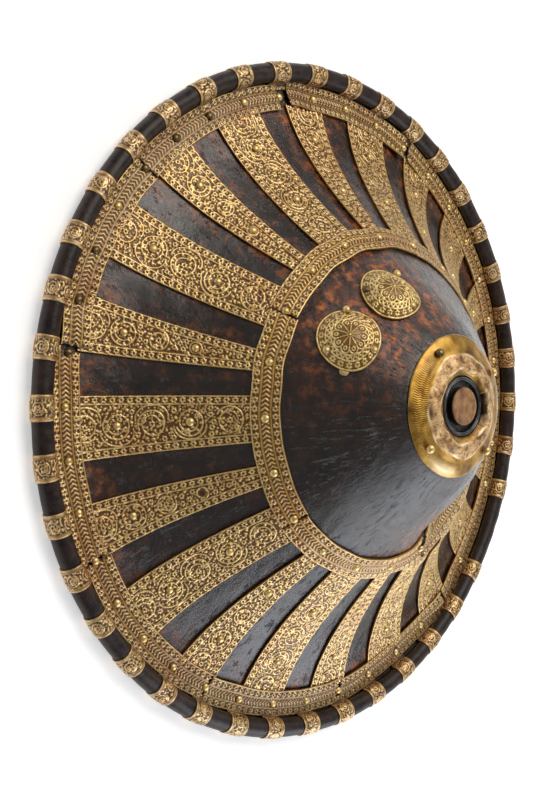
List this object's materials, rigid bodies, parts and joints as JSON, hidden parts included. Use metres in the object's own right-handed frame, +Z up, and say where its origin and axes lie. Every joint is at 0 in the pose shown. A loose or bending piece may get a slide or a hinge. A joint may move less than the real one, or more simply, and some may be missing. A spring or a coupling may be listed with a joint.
{
  "type": "round hide shield",
  "caption": "Round convex hide shield with a rolled rim, radial embossed brass strips and bands, a raised brass boss and a hand strap inside.",
  "frame": {"origin": "on the floor under the apex, at the middle of the rim's lowest plane", "axes": "+Z up along the shield's axis to the boss, -Y towards the side that the picture shows on its left"},
  "size_m": [0.5202, 0.5202, 0.156],
  "materials": {
    "hide": "dark worn hide with a dull sheen, red-brown where it is rubbed",
    "strap_leather": "plain brown leather",
    "brass": "embossed gilt sheet brass, bright on the high points and dark in the recesses",
    "black_metal": "blackened",
    "wood": "worn brown end grain"
  },
  "bodies": {
    "root": {"hide_body": "hide", "radial_strip_01": "brass", "radial_strip_02": "brass", "radial_strip_03": "brass", "radial_strip_04": "brass", "radial_strip_05": "brass", "radial_strip_06": "brass", "radial_strip_07": "brass", "radial_strip_08": "brass", "radial_strip_09": "brass", "radial_strip_10": "brass", "radial_strip_11": "brass", "radial_strip_12": "brass", "radial_strip_13": "brass", "radial_strip_14": "brass", "radial_strip_15": "brass", "radial_strip_16": "brass", "radial_strip_17": "brass", "radial_strip_18": "brass", "radial_strip_19": "brass", "radial_strip_20": "brass", "outer_band_01": "brass", "outer_band_02": "brass", "outer_band_03": "brass", "outer_band_04": "brass", "outer_band_05": "brass", "outer_band_06": "brass", "outer_band_07": "brass", "outer_band_08": "brass", "outer_band_09": "brass", "outer_band_10": "brass", "inner_band_1": "brass", "inner_band_2": "brass", "inner_band_3": "brass", "inner_band_4": "brass", "inner_band_5": "brass", "roundel_a": "brass", "roundel_b": "brass", "boss_plate": "brass", "boss_collar": "black_metal", "boss_plug": "wood", "hand_strap": "strap_leather"}
  },
  "joints": []
}
